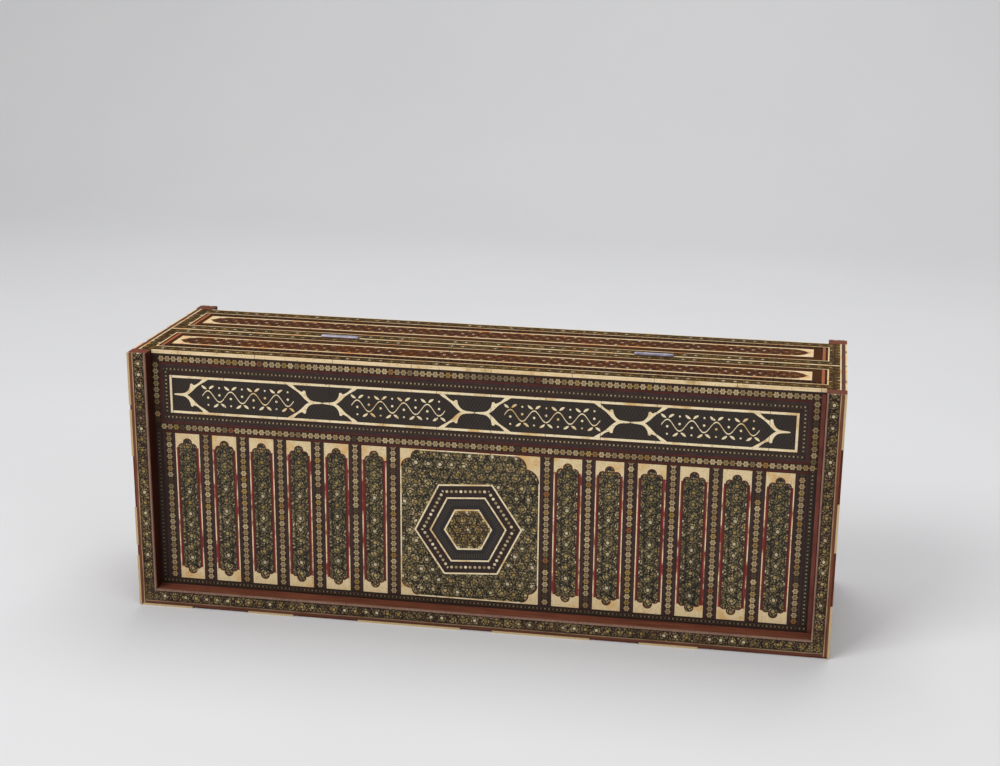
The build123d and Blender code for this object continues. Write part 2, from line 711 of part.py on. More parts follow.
os.makedirs("parts", exist_ok=True)
for name, solids in half_pieces().items():
    write("front_" + name, solids)
    write("rear_" + name, [mirror(solid, Plane.XZ) for solid in solids])
for name, solids in hinge_pieces().items():
    write(name, solids)
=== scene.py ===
"""Dresses the folding nard box: inlaid woods, bone, star mosaic and dull silver hinges.

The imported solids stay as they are. Each gets its own finish, worked out from its place in the
part's frame, so that every star, dot and grain line sits where the inlay puts it. Lengths inside a
finish are millimetres; lengths in the scene are metres.
"""
from math import cos, pi, radians, sin

import bpy
import numpy as np
from mathutils import Matrix, Vector


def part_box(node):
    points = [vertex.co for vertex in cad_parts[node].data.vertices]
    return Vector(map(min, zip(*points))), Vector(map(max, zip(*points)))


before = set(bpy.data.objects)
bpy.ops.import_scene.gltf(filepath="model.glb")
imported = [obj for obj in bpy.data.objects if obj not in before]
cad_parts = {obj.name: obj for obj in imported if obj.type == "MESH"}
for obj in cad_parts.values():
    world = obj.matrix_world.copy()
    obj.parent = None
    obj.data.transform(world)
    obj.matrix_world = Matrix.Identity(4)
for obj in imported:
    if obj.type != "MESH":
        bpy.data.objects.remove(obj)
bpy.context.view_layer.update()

X, Y, Z = 0, 1, 2
LOW, HIGH = 0, 1                 # the two corners of a node's box


def edge(name, corner, axis):
    """Where a node's box starts (LOW) or ends (HIGH) along an axis, in millimetres."""
    return 1000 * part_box(name)[corner][axis]


def middle(name, axis):
    """The middle of a node's box along an axis, in millimetres."""
    return (edge(name, LOW, axis) + edge(name, HIGH, axis)) / 2


def outer_rows(name, axis, width):
    """Middle of the first and of the last row of a node along an axis, each row this wide."""
    return edge(name, LOW, axis) + width / 2, edge(name, HIGH, axis) - width / 2


# ---- sizes, in millimetres ----------------------------------------------------------------------
# the box; depths are measured from the seam between the trays
HALF_LENGTH = edge("front_right_end_wall", HIGH, X)
RECESS_SIDE = edge("front_right_end_wall", LOW, X)
TOP_BED = edge("front_top_mosaic", LOW, Z) - 0.1  # the top's inlay lies above this

# star ring round the upper panel
RING_LEFT = edge("front_star_bands", LOW, X)
RING_RIGHT = edge("front_star_bands", HIGH, X)
RING_HIGH = edge("front_star_bands", HIGH, Z)
RING_LOW = RING_HIGH - 61.4
STAR_BAND = 5.2
STAR_PITCH = 5.05
ROSETTE_RADIUS = 2.1
FADED_STARS = (22.0, 32.0)       # middle and half length of the rubbed stretch of the upper row

# star columns between the cells: the first column of each side and the step to the next
CELLS_A_SIDE = 6
LEFT_FIRST = RING_LEFT + 11.1
LEFT_LAST = edge("front_hexagon_lines", LOW, X) - 5.8
RIGHT_FIRST = edge("front_hexagon_lines", HIGH, X) + 5.5
RIGHT_LAST = RING_RIGHT - 10.2
LEFT_COLUMNS = (LEFT_FIRST, (LEFT_LAST - LEFT_FIRST) / CELLS_A_SIDE)
RIGHT_COLUMNS = (RIGHT_FIRST, (RIGHT_LAST - RIGHT_FIRST) / CELLS_A_SIDE)

# bands of small dots
DOT_BAND = 3.6
DOT_PITCH = 3.2
DOT_RADIUS = 0.6
DOT_INSET = 9.1                  # edge of the star ring to the dot ring inside it
SIDE_DOTS = 2.7                  # edge of the star ring to the middle of the side bands below it
FOOT_DOTS = edge("front_dot_bands", LOW, Z) + 2.2  # middle of the band along the foot
ROW_REACH = 2.25                 # a little over half the height of that band
DOT_STRIPES = 1.25               # middle of a dot band to the thin stripe either side of it

# medallion; distances from the middle of its hexagons
MEDALLION = (middle("front_hexagon_bands", X), middle("front_hexagon_bands", Z))
HEXAGON_TURN = radians(3.6)
GOLD_DOT_ROW = 31.8
GOLD_DOT_PITCH = 3.8
GOLD_DOT_RADIUS = 1.15
TICK_ROW = 22.2
TICK_PITCH = 1.9
HALF_TICK = 1.9
BAND_LINE = 27.2                 # the bone line between the two bands
HEART_RADIUS = 22.0              # holds the middle hexagon and no other mosaic

# rim; distances from its outer edge
RIM_MIDDLE = edge("front_rim_mosaic", LOW, Z) + 4.1  # middle of its mosaic
RIM_REACH = 4.2                  # a little over half the width of that mosaic
RIM_STRIP = 5.1                  # just past the wood strip
RIM_STRIP_LINE = 3.9             # the pale line in it
STRIPE_LENGTH = 37               # of the long stripes in it
BEAD_START = 5.0                 # the edging lies nearer than this, the bead farther in

# top and ends
TOP_ROWS = [-row for row in outer_rows("front_top_mosaic", Y, 11.0)]
CROSS_STARS = HALF_LENGTH - 6.3  # the line of stars across each end of the top
CROSS_REACH = 4.7                # from that line in to where the long borders start
CARTOUCHE_ROW = -middle("front_top_cartouche", Y)
DASH_ROW = 53.8
DASH_PITCH = 4.4
DASH_SIZE = (1.2, 2.2)           # half length along X and along Y
END_ROWS = [-row for row in outer_rows("front_end_mosaics", Y, 9.0)]
END_HEIGHTS = outer_rows("front_end_mosaics", Z, 9.0)
END_REACH = 4.6                  # a little over half the width of those mosaics

# repeats
STAR_STEP = 9.47                 # from one mosaic star of the field to the next
NARROW_STAR_STEP = 8.9           # the same in the narrow strips of rim, top and ends
DIAMOND = 2.6                    # width of a diamond in the panel's ground
DIAMOND_LEAN = 0.6


# ---- colour -------------------------------------------------------------------------------------
def paint(red, green, blue):
    """An eight-bit colour as Blender's linear values."""
    levels = np.array((red, green, blue)) / 255
    linear = np.where(levels <= 0.04045, levels / 12.92, ((levels + 0.055) / 1.055) ** 2.4)
    return tuple(float(level) for level in linear) + (1.0,)


BLACK = paint(17, 12, 9)
SOOT = paint(29, 24, 18)
EBONY = paint(36, 25, 19)
UMBER = paint(58, 34, 22)
PLUM = paint(50, 33, 30)
SLATE = paint(48, 43, 47)
BRICK = paint(128, 50, 36)
RUST = paint(136, 78, 46)
TAN = paint(100, 70, 44)
MOSS = paint(64, 58, 42)
OLIVE = paint(112, 99, 64)
OCHRE = paint(164, 132, 62)
GOLD = paint(196, 170, 100)
SAND = paint(164, 138, 98)
STRAW = paint(200, 178, 134)
HONEY = paint(206, 166, 106)
IVORY = paint(220, 198, 156)
CREAM = paint(238, 222, 186)
PEACH = paint(222, 156, 100)
SILVER = paint(176, 170, 184)

# from the darkest to the brightest dot of each mosaic: share of the way, colour
FIELD_TINTS = ((0.0, BLACK), (0.30, SOOT), (0.44, MOSS), (0.56, OLIVE), (0.68, SAND), (0.82, CREAM))
HEART_TINTS = ((0.0, BLACK), (0.30, SOOT), (0.40, MOSS), (0.48, TAN), (0.54, OLIVE), (0.64, OCHRE),
               (0.80, CREAM))
RIM_TINTS = ((0.0, BLACK), (0.30, EBONY), (0.44, UMBER), (0.58, OLIVE), (0.70, SAND), (0.90, STRAW))
TOP_TINTS = ((0.0, BLACK), (0.36, paint(34, 22, 6)), (0.50, paint(76, 52, 10)),
             (0.64, paint(142, 104, 38)), (0.85, SAND))
CARTOUCHE_TINTS = ((0.0, BLACK), (0.34, paint(44, 18, 5)), (0.50, paint(84, 36, 6)),
                   (0.66, paint(134, 72, 18)), (0.90, OCHRE))
STAR_HEART_TINTS = ((0.0, OLIVE), (0.2, OCHRE), (0.55, GOLD), (0.95, CREAM))
ROSETTE_TINTS = ((0.0, OLIVE), (0.1, SAND), (0.45, STRAW), (0.8, SAND), (0.97, OCHRE), (0.995, RUST))


# ---- arithmetic on the surfaces of a material ---------------------------------------------------
def feed(tree, slot, value):
    """Links a Field or an output socket to a slot, or sets a plain value on it."""
    if isinstance(value, Field):
        tree.links.new(value.socket, slot)
    elif isinstance(value, bpy.types.NodeSocket):
        tree.links.new(value, slot)
    else:
        slot.default_value = value


class Field:
    """A number that changes over a surface: one output socket of a node tree, with arithmetic."""

    def __init__(self, tree, socket):
        self.tree = tree
        self.socket = socket

    def apply(self, operation, *others):
        """The result of one Math node, with this as its first value."""
        node = self.tree.nodes.new("ShaderNodeMath")
        node.operation = operation
        for slot, value in zip(node.inputs, (self,) + others):
            feed(self.tree, slot, value)
        return Field(self.tree, node.outputs[0])

    def __add__(self, other):
        return self.apply("ADD", other)

    def __sub__(self, other):
        return self.apply("SUBTRACT", other)

    def __mul__(self, other):
        return self.apply("MULTIPLY", other)

    def __truediv__(self, other):
        return self.apply("DIVIDE", other)

    def __abs__(self):
        return self.apply("ABSOLUTE")

    def __neg__(self):
        return self.apply("MULTIPLY", -1.0)

    def below(self, limit):
        """1 below the limit, 0 elsewhere."""
        return self.apply("LESS_THAN", limit)

    def above(self, limit):
        """1 above the limit, 0 elsewhere."""
        return self.apply("GREATER_THAN", limit)

    def soft_below(self, limit, width):
        """1 below the limit, 0 above it, with a ramp of that width between."""
        step = self.tree.nodes.new("ShaderNodeMapRange")
        feed(self.tree, step.inputs["Value"], self)
        step.inputs["From Min"].default_value = limit + width / 2
        step.inputs["From Max"].default_value = limit - width / 2
        return Field(self.tree, step.outputs["Result"])

    def wrap(self, start, pitch):
        """Signed distance to the nearest of the places start + n * pitch."""
        return (self - start + pitch / 2).apply("FLOORED_MODULO", pitch) - pitch / 2

    def pick(self, if_one, if_zero):
        """if_one where this is 1, if_zero where it is 0."""
        return (if_one - if_zero) * self + if_zero


def nearest(one, other):
    """Of two signed distances, the one nearer to zero."""
    return abs(one).apply("LESS_THAN", abs(other)).pick(one, other)


def from_lines(field, places):
    """Signed distance to the nearest of several places."""
    found = field - places[0]
    for place in places[1:]:
        found = nearest(found, field - place)
    return found


def length_of(u, v):
    """Square root of u squared plus v squared."""
    return (u * u + v * v).apply("SQRT")


def turned(u, v, angle):
    """Coordinates along axes turned by an angle."""
    return u * cos(angle) + v * sin(angle), v * cos(angle) - u * sin(angle)


class Finish:
    """One material: its place in millimetres, noises, colours, and the closing shader."""

    def __init__(self, name):
        self.material = bpy.data.materials.new(name)
        self.material.use_nodes = True
        self.tree = self.material.node_tree
        self.tree.nodes.clear()
        spot = self.tree.nodes.new("ShaderNodeTexCoord")
        place = self.tree.nodes.new("ShaderNodeVectorMath")
        place.operation = "SCALE"
        place.inputs["Scale"].default_value = 1000
        self.tree.links.new(spot.outputs["Object"], place.inputs[0])
        split = self.tree.nodes.new("ShaderNodeSeparateXYZ")
        self.tree.links.new(place.outputs[0], split.inputs[0])
        self.x, self.y, self.z = (Field(self.tree, output) for output in split.outputs)
        self.depth = abs(self.y)

    def vector(self, *parts):
        """Three fields or numbers as one vector."""
        node = self.tree.nodes.new("ShaderNodeCombineXYZ")
        for slot, value in zip(node.inputs, parts):
            feed(self.tree, slot, value)
        return node.outputs[0]

    def noise(self, scale, stretch=(1, 1, 1), detail=4.0, shift=0.0):
        """Cloudy noise from 0 to 1, scale waves to the millimetre.

        A stretch under 1 draws it out along that axis. The shift sets it apart from other noises.
        """
        node = self.tree.nodes.new("ShaderNodeTexNoise")
        place = [part * factor + shift for part, factor in zip((self.x, self.y, self.z), stretch)]
        feed(self.tree, node.inputs["Vector"], self.vector(*place))
        node.inputs["Scale"].default_value = scale
        node.inputs["Detail"].default_value = detail
        node.inputs["Roughness"].default_value = 0.55
        return Field(self.tree, node.outputs[0])

    def chance(self, *parts):
        """A random number from 0 to 1 for each whole-numbered place."""
        node = self.tree.nodes.new("ShaderNodeTexWhiteNoise")
        whole = [part.apply("ROUND") if isinstance(part, Field) else part for part in parts]
        feed(self.tree, node.inputs["Vector"], self.vector(*whole))
        return Field(self.tree, node.outputs[0])

    def mix(self, share, low, high):
        """A colour between low (share 0) and high (share 1)."""
        node = self.tree.nodes.new("ShaderNodeMix")
        node.data_type = "RGBA"
        colour_slots = node.inputs[6:8]  # after the slots for numbers and vectors
        feed(self.tree, node.inputs["Factor"], share)
        for slot, colour in zip(colour_slots, (low, high)):
            feed(self.tree, slot, colour)
        return node.outputs[2]

    def ramp(self, field, stops):
        """Colours along a field: stops are (place, colour) pairs."""
        node = self.tree.nodes.new("ShaderNodeValToRGB")
        elements = node.color_ramp.elements
        while len(elements) < len(stops):
            elements.new(1.0)
        for element, (place, colour) in zip(elements, stops):
            element.position = place
            element.color = colour
        feed(self.tree, node.inputs[0], field)
        return node.outputs[0]

    def shade(self, colour, share, amount):
        """A colour darkened by a field: share 1 keeps it, share 0 takes the amount away."""
        node = self.tree.nodes.new("ShaderNodeVectorMath")
        node.operation = "SCALE"
        feed(self.tree, node.inputs[0], colour)
        feed(self.tree, node.inputs["Scale"], share * amount + (1 - amount))
        return node.outputs[0]

    def close(self, colour, roughness, relief=None, relief_mm=0.1, metallic=0.0, gloss=0.25):
        """Principled shader with this colour, roughness and relief."""
        shader = self.tree.nodes.new("ShaderNodeBsdfPrincipled")
        output = self.tree.nodes.new("ShaderNodeOutputMaterial")
        self.tree.links.new(shader.outputs[0], output.inputs[0])
        feed(self.tree, shader.inputs["Base Color"], colour)
        feed(self.tree, shader.inputs["Roughness"], roughness)
        shader.inputs["Metallic"].default_value = metallic
        shader.inputs["Specular IOR Level"].default_value = gloss
        if relief is not None:
            bump = self.tree.nodes.new("ShaderNodeBump")
            bump.inputs["Distance"].default_value = relief_mm / 1000
            feed(self.tree, bump.inputs["Height"], relief)
            self.tree.links.new(bump.outputs[0], shader.inputs["Normal"])
        return self.material


# ---- patterns -----------------------------------------------------------------------------------
def triangular(u, v, step):
    """Offsets to the nearest point of a triangular lattice, its neighbours one step apart along u."""
    rise = step * 3 ** 0.5
    even = (u.wrap(0, step), v.wrap(0, rise))
    odd = (u.wrap(step / 2, step), v.wrap(rise / 2, rise))
    closer = length_of(*even).apply("LESS_THAN", length_of(*odd))
    return closer.pick(even[0], odd[0]), closer.pick(even[1], odd[1])


def star_mosaic(finish, u, v, tints, star_step=STAR_STEP):
    """Micromosaic: dots on a fine triangular lattice, in rings round the points of a coarse one.

    Returns its colour and its dot mask. With r the distance from a star in fine steps, a dot's
    brightness is 0.4 of its own luck, plus 0.11 cos(2 pi r / 2.9), plus a slow drift. The dots
    within 1.2 steps of a star are its heart, as bright as the star's own luck.
    """
    fine = star_step / 10
    per_dot, per_star = 2 / fine, 2 / star_step
    du, dv = triangular(u, v, fine)
    dot_u, dot_v = u - du, v - dv
    star_u, star_v = triangular(dot_u, dot_v, star_step)
    reach = length_of(star_u, star_v) / fine
    luck = finish.chance(dot_u * per_dot, dot_v * per_dot, 3.0)
    star_luck = finish.chance((dot_u - star_u) * per_star, (dot_v - star_v) * per_star, 5.0)
    rings = (reach * (2 * pi / 2.9)).apply("COSINE")
    drift = finish.noise(0.03, shift=7.0)
    colour = finish.ramp(luck * 0.4 + rings * 0.11 + drift * 0.24 + 0.13, tints)
    heart = finish.ramp(star_luck, STAR_HEART_TINTS)
    colour = finish.mix(reach.below(1.2) * (luck * 0.3 + 0.6), colour, heart)
    dots = (length_of(du, dv) - fine * 0.4).soft_below(0, 0.35 * fine)
    return finish.shade(colour, dots, 0.55), dots


def rosettes(finish, du, dv, centre_u, centre_v):
    """Six-petalled rosettes: radius times (1 + 0.14 cos 6a), with a dark eye, each its own tint.

    Returns their colour and their mask, in which one rosette in 25 is nearly lost.
    """
    reach = length_of(du, dv)
    petals = (dv.apply("ARCTAN2", du) * 6.0).apply("COSINE")
    luck = finish.chance(centre_u * 2.0, centre_v * 2.0, 1.0)
    tone = finish.chance(centre_u * 2.0, centre_v * 2.0, 2.0)
    mask = (reach - (petals * 0.14 + 1.0) * ROSETTE_RADIUS).soft_below(0, 0.6)
    eye = abs(reach - ROSETTE_RADIUS * 0.34).soft_below(ROSETTE_RADIUS * 0.16, 0.4)
    tint = finish.ramp(luck, ROSETTE_TINTS)
    tint = finish.shade(tint, petals * 0.2 + tone * 0.6 + 0.3, 0.55)
    return finish.mix(eye * 0.7, tint, UMBER), mask * (luck.above(0.04) * 0.75 + 0.25)


def lengthwise(along, factor):
    """Stretch of a grain that runs along one axis."""
    return [factor if axis == along else 1.0 for axis in (X, Y, Z)]


def grained(name, dark, light, stretch, scale=0.35):
    """Close-grained wood: streaks along one axis, a slow change of tone and dull worn patches."""
    finish = Finish(name)
    streak = finish.noise(scale, stretch)
    tone = finish.noise(0.02, shift=3.0)
    colour = finish.mix(streak * 0.9 + tone * 0.6 - 0.25, dark, light)
    return finish.close(colour, tone * 0.25 + 0.4, streak, 0.06)


# ---- woods --------------------------------------------------------------------------------------
def carcass_finish(along, light):
    """Red-brown carcass wood, with painted shade that turns the sides of the recess nearly black-red.
    """
    finish = Finish("carcass_wood_" + "xyz"[along])
    streak = finish.noise(0.4, lengthwise(along, 0.06))
    tone = finish.noise(0.03, shift=3.0)
    colour = finish.mix(streak * 0.9 + tone * 0.7 - 0.3, paint(50, 20, 13), light)
    # painted shade: the sides of the recess are mixed towards near-black red to stand in for the shade
    # they lie in
    side = abs(finish.x).below(RECESS_SIDE + 0.1) * abs(finish.x).above(RECESS_SIDE - 0.1)
    colour = finish.mix(side * 0.85, colour, paint(30, 7, 4))
    return finish.close(colour, tone * 0.25 + 0.45, streak, 0.06, gloss=0.1)


def board_finish():
    """Dark ground of the field, its grain along the box."""
    return grained("dark_board", paint(28, 16, 12), paint(60, 38, 28), lengthwise(X, 0.06))


def purple_finish():
    """Purple-brown strips, with an upright grain."""
    return grained("purple_wood", paint(30, 18, 18), paint(70, 47, 44), (0.3, 1, 0.05), scale=0.8)


def border_finish():
    """Red-brown lobed borders round the cell mosaics."""
    return grained("red_border", paint(46, 22, 17), paint(98, 46, 36), (1, 1, 1), scale=0.5)


def red_finish():
    """Dark red round the upper panel, crimson beside the cells, russet at the right, orange on top."""
    finish = Finish("red_wood")
    grain = finish.noise(0.5, (0.2, 1, 0.2))
    patch = finish.noise(0.04, shift=5.0)
    share = grain * 0.9 + patch * 0.6 - 0.25
    colour = finish.mix(share, paint(44, 16, 12), paint(108, 46, 36))
    crimson = finish.mix(share, paint(66, 20, 22), paint(158, 58, 60))
    russet = finish.mix(share, paint(72, 30, 24), paint(158, 92, 78))
    end_strips = abs(finish.x).above(HALF_LENGTH - 10.0)
    orange = finish.shade(finish.mix(end_strips, paint(176, 92, 44), paint(92, 44, 26)), share, 0.5)
    colour = finish.mix(finish.z.below(RING_LOW - 3.0), colour, crimson)
    colour = finish.mix(finish.x.above(RING_RIGHT + 0.1), colour, russet)
    colour = finish.mix(finish.z.above(TOP_BED), colour, orange)
    return finish.close(colour, patch * 0.2 + 0.42, grain, 0.05, gloss=0.15)


def rim_strip_finish():
    """Orange-brown strip in long dark and pale stripes, with a pale line, darker on its uprights."""
    finish = Finish("rim_strip")
    upright = abs(finish.x).above(HALF_LENGTH - RIM_STRIP)
    across = upright.pick(-abs(finish.x) + HALF_LENGTH, finish.z)
    along = upright.pick(finish.z, finish.x)
    drift = finish.noise(0.02, shift=2.0)
    line = abs(across - RIM_STRIP_LINE - drift).soft_below(0.35, 0.5)
    streak = finish.noise(0.05, shift=6.0)
    stripe = finish.chance(across * 3.0, along / STRIPE_LENGTH + drift * 3.0, 4.0)
    colour = finish.mix(stripe * 0.6 + streak * 0.5 - 0.1, paint(54, 24, 16), paint(142, 80, 54))
    colour = finish.mix(line * (streak - 0.2) * 1.6, colour, STRAW)
    colour = finish.shade(colour, upright, 0.35)
    return finish.close(colour, streak * 0.2 + 0.4, stripe, 0.04)


def panel_ground_finish():
    """Near-black ground with a faint lattice of grey diamonds."""
    finish = Finish("panel_ground")
    lean = finish.z * DIAMOND_LEAN
    lattice = nearest((finish.x + lean).wrap(0, DIAMOND), (finish.x - lean).wrap(0, DIAMOND))
    faint = finish.noise(0.06, shift=8.0)
    lines = abs(lattice).soft_below(0.3, 0.3) * faint
    grain = finish.noise(0.8)
    colour = finish.mix(grain, paint(22, 17, 15), paint(48, 38, 33))
    colour = finish.mix(lines * 0.45, colour, paint(84, 78, 64))
    return finish.close(colour, faint * 0.2 + 0.45, grain, 0.04)


def top_ground_finish():
    """Dark wood with short black dashes in a row."""
    finish = Finish("top_ground")
    dash = abs(finish.x.wrap(0, DASH_PITCH)).soft_below(DASH_SIZE[0], 0.3)
    row = abs(finish.depth - DASH_ROW).soft_below(DASH_SIZE[1], 0.4)
    grain = finish.noise(0.5, lengthwise(X, 0.1))
    wood = finish.mix(grain, paint(38, 20, 6), paint(86, 48, 14))
    return finish.close(finish.mix(dash * row, wood, BLACK), grain * 0.2 + 0.5, grain, 0.05, gloss=0.02)


# ---- bone ---------------------------------------------------------------------------------------
def bone_finish(name, light, dark, stain, stained, along, joint_step=43.0, gloss=0.3):
    """Bone: long streaks, dark pores and joints, and a stain where a slow noise is under stained."""
    finish = Finish(name)
    streak = finish.noise(0.6, lengthwise(along, 0.1))
    patch = finish.noise(0.07, shift=11.0)
    pores = finish.noise(1.1, detail=2.0, shift=5.0)
    colour = finish.mix(streak * 1.3 + patch * 0.6 - 0.45, dark, light)
    colour = finish.mix((patch - stained).soft_below(0, 0.14), colour, stain)
    joint = abs((finish.x, finish.y, finish.z)[along].wrap(9.0, joint_step)).soft_below(0.25, 0.3)
    marks = (pores - 0.34).soft_below(0, 0.08) + joint
    colour = finish.mix(marks * 0.75, colour, paint(84, 50, 28))
    return finish.close(colour, patch * 0.2 + 0.34, streak, 0.05, gloss=gloss)


def rim_edging_finish():
    """Outer edging of yellowed bone; the bead inside the rim is stained pinkish brown."""
    finish = Finish("rim_edging_bone")
    streak = finish.noise(0.5, lengthwise(Z, 0.15))
    patch = finish.noise(0.05, shift=11.0)
    inner = abs(finish.x).below(HALF_LENGTH - BEAD_START) * finish.z.above(BEAD_START)
    outer = finish.mix(streak * 1.2 + patch * 0.4 - 0.3, STRAW, SAND)
    bead = finish.mix(streak * 1.2 + patch * 0.8 - 0.5, paint(158, 130, 110), paint(94, 54, 46))
    return finish.close(finish.mix(inner, outer, bead), patch * 0.2 + 0.36, streak, 0.05)


# ---- bands of stars and dots --------------------------------------------------------------------
def star_band_finish():
    """Rows and columns of rosettes on dark wood; the ring's left corners are plain.

    The rosettes fade where the wood is worn, and in one rubbed stretch of the upper row.
    """
    finish = Finish("star_bands")
    half = STAR_BAND / 2
    rows = from_lines(finish.z, (RING_HIGH - half, RING_LOW + half))
    left = nearest(finish.x.wrap(*LEFT_COLUMNS), finish.x - (RING_LEFT + half))
    right = nearest(finish.x.wrap(*RIGHT_COLUMNS), finish.x - (RING_RIGHT - half))
    columns = finish.x.below(0).pick(left, right)
    in_row = abs(rows).below(half + 0.06)
    du = in_row.pick(finish.x.wrap(RING_LEFT + half, STAR_PITCH), columns)
    dv = in_row.pick(rows, finish.z.wrap(RING_LOW + half, STAR_PITCH))
    tint, shape = rosettes(finish, du, dv, finish.x - du, finish.z - dv)
    corner = in_row * finish.x.below(RING_LEFT + STAR_BAND)
    worn = finish.noise(0.03, shift=2.0)
    rubbed = finish.noise(1.6, shift=9.0)
    faded = abs(finish.x - FADED_STARS[0]).soft_below(FADED_STARS[1], 14.0)
    faded = faded * finish.z.above(RING_HIGH - STAR_BAND)
    kept = shape * (-corner + 1.0) * (worn - 0.28).soft_below(0, -0.12)
    kept = kept * (rubbed * 1.1 + 0.4) * (faded * -0.55 + 1.0)
    ground = finish.mix(finish.noise(0.6), BLACK, UMBER)
    return finish.close(finish.mix(kept, ground, tint), worn * 0.2 + 0.4, shape, 0.06)


def dot_band_finish():
    """Small pale dots in a row down the middle of dark wood, each its own brightness."""
    finish = Finish("dot_bands")
    inset = DOT_INSET + DOT_BAND / 2
    rows = from_lines(finish.z, (RING_HIGH - inset, RING_LOW + inset, FOOT_DOTS))
    columns = from_lines(finish.x, (RING_LEFT + inset, RING_RIGHT - inset,
                                    RING_LEFT + SIDE_DOTS, RING_RIGHT - SIDE_DOTS))
    in_row = abs(rows).below(ROW_REACH)
    du = in_row.pick(finish.x.wrap(0, DOT_PITCH), columns)
    dv = in_row.pick(rows, finish.z.wrap(0, DOT_PITCH))
    across = in_row.pick(rows, columns)
    luck = finish.chance((finish.x - du) * 2.0, (finish.z - dv) * 2.0, 9.0)
    dots = length_of(du, dv).soft_below(DOT_RADIUS, 0.45)
    faint = finish.noise(0.02, shift=4.0)
    dim = finish.z.below(RING_LOW) * finish.x.below(RING_RIGHT - 6.0)
    strength = (luck * 0.5 + faint * 0.5 + 0.05) * (dim * -0.5 + 1.0)
    stripes = abs(abs(across) - DOT_STRIPES).soft_below(0.16, 0.15)
    colour = finish.mix(finish.noise(0.7), paint(24, 15, 11), paint(50, 33, 28))
    colour = finish.mix(stripes * 0.3, colour, OLIVE)
    colour = finish.mix(dots * strength, colour, STRAW)
    return finish.close(colour, faint * 0.2 + 0.4, dots, 0.04)


def hexagon_band_finish():
    """Outer band: plum wood with a row of small gold dots. Inner band: dark wood with fine ticks.

    A hexagon's distance from its middle is the largest of the distances along three axes, 60
    degrees apart.
    """
    finish = Finish("hexagon_bands")
    u, v = turned(finish.x - MEDALLION[0], finish.z - MEDALLION[1], HEXAGON_TURN)
    across, along = turned(u, v, pi / 6)
    out = abs(across)
    for angle in (pi / 2, pi * 5 / 6):
        across, beside = turned(u, v, angle)
        wins = abs(across).apply("GREATER_THAN", out)
        along = wins.pick(beside, along)
        out = wins.pick(abs(across), out)
    outer_band = out.above(BAND_LINE)
    step = along.wrap(0, GOLD_DOT_PITCH)
    luck = finish.chance((along - step) * 2.0, outer_band * 7.0, u.above(0) * 3.0)
    dots = length_of(step, out - GOLD_DOT_ROW).soft_below(GOLD_DOT_RADIUS, 0.4)
    ticks = abs(along.wrap(0, TICK_PITCH)).soft_below(0.3, 0.25)
    ticks = ticks * abs(out - TICK_ROW).soft_below(HALF_TICK, 0.3)
    grain = finish.noise(0.9)
    gilt = finish.mix(luck, OCHRE, CREAM)
    outer = finish.mix(dots * (luck * 0.5 + 0.4), finish.mix(grain, EBONY, PLUM), gilt)
    inner = finish.mix(ticks * 0.25, finish.mix(grain, SOOT, SLATE), OLIVE)
    return finish.close(finish.mix(outer_band, inner, outer), grain * 0.2 + 0.4, dots, 0.04)


# ---- star mosaic --------------------------------------------------------------------------------
def cell_mosaic_finish():
    """Star mosaic of the cells: stars down each cell's middle, others half a step to its sides."""
    finish = Finish("cell_mosaic")
    left = finish.x.wrap(LEFT_COLUMNS[0] + LEFT_COLUMNS[1] / 2, LEFT_COLUMNS[1])
    right = finish.x.wrap(RIGHT_COLUMNS[0] + RIGHT_COLUMNS[1] / 2, RIGHT_COLUMNS[1])
    across = finish.x.below(0).pick(left, right)
    middle = finish.x - across
    slip = finish.chance(middle, 1.0, 1.0) * STAR_STEP
    colour, dots = star_mosaic(finish, finish.z + slip, across, FIELD_TINTS)
    tone = finish.chance(middle, 2.0, 2.0)
    colour = finish.shade(colour, tone * 0.5 + 0.5, 0.3)
    return finish.close(colour, finish.noise(0.05) * 0.2 + 0.42, dots, 0.04)


def medallion_finish():
    """Star mosaic round the hexagons, brighter and more colourful in the middle one."""
    finish = Finish("medallion_mosaic")
    u, v = finish.x - MEDALLION[0], finish.z - MEDALLION[1]
    drift = finish.noise(0.02, shift=1.0) * 9.0
    outer, dots = star_mosaic(finish, u + drift, v - drift, FIELD_TINTS)
    inner_u, inner_v = turned(u, v, HEXAGON_TURN)
    inner, inner_dots = star_mosaic(finish, inner_u, inner_v, HEART_TINTS, STAR_STEP * 0.9)
    heart = length_of(u, v).below(HEART_RADIUS)
    relief = heart.pick(inner_dots, dots)
    roughness = finish.noise(0.05) * 0.2 + 0.42
    return finish.close(finish.mix(heart, outer, inner), roughness, relief, 0.04)


def laid_mosaic(finish, u, v, tints, worn_to, gloss=0.2):
    """Mosaic in narrow lengths, rubbed away to its ground in patches."""
    colour, dots = star_mosaic(finish, u, v, tints, NARROW_STAR_STEP)
    rubbed = (finish.noise(0.05, shift=9.0) - 0.40).soft_below(0, 0.14)
    colour = finish.mix(rubbed * 0.7, colour, worn_to)
    return finish.close(colour, rubbed * 0.1 + 0.48, dots, 0.04, gloss=gloss)


def rim_mosaic_finish():
    """Brown star mosaic, along the foot and up both sides of the rim."""
    finish = Finish("rim_mosaic")
    side = abs(finish.x) - (HALF_LENGTH - RIM_MIDDLE)
    foot = finish.z - RIM_MIDDLE
    upright = side.above(-RIM_REACH)
    u, v = upright.pick(finish.z, finish.x), upright.pick(side, foot)
    return laid_mosaic(finish, u, v, RIM_TINTS, UMBER)


def top_mosaic_finish():
    """Golden-brown star mosaic, along the top's borders and across its ends."""
    finish = Finish("top_mosaic")
    long_rows = from_lines(finish.depth, TOP_ROWS)
    cross = abs(finish.x) - CROSS_STARS
    at_end = cross.above(-CROSS_REACH)
    u, v = at_end.pick(finish.depth, finish.x), at_end.pick(cross, long_rows)
    return laid_mosaic(finish, u, v, TOP_TINTS, paint(64, 38, 10), gloss=0.02)


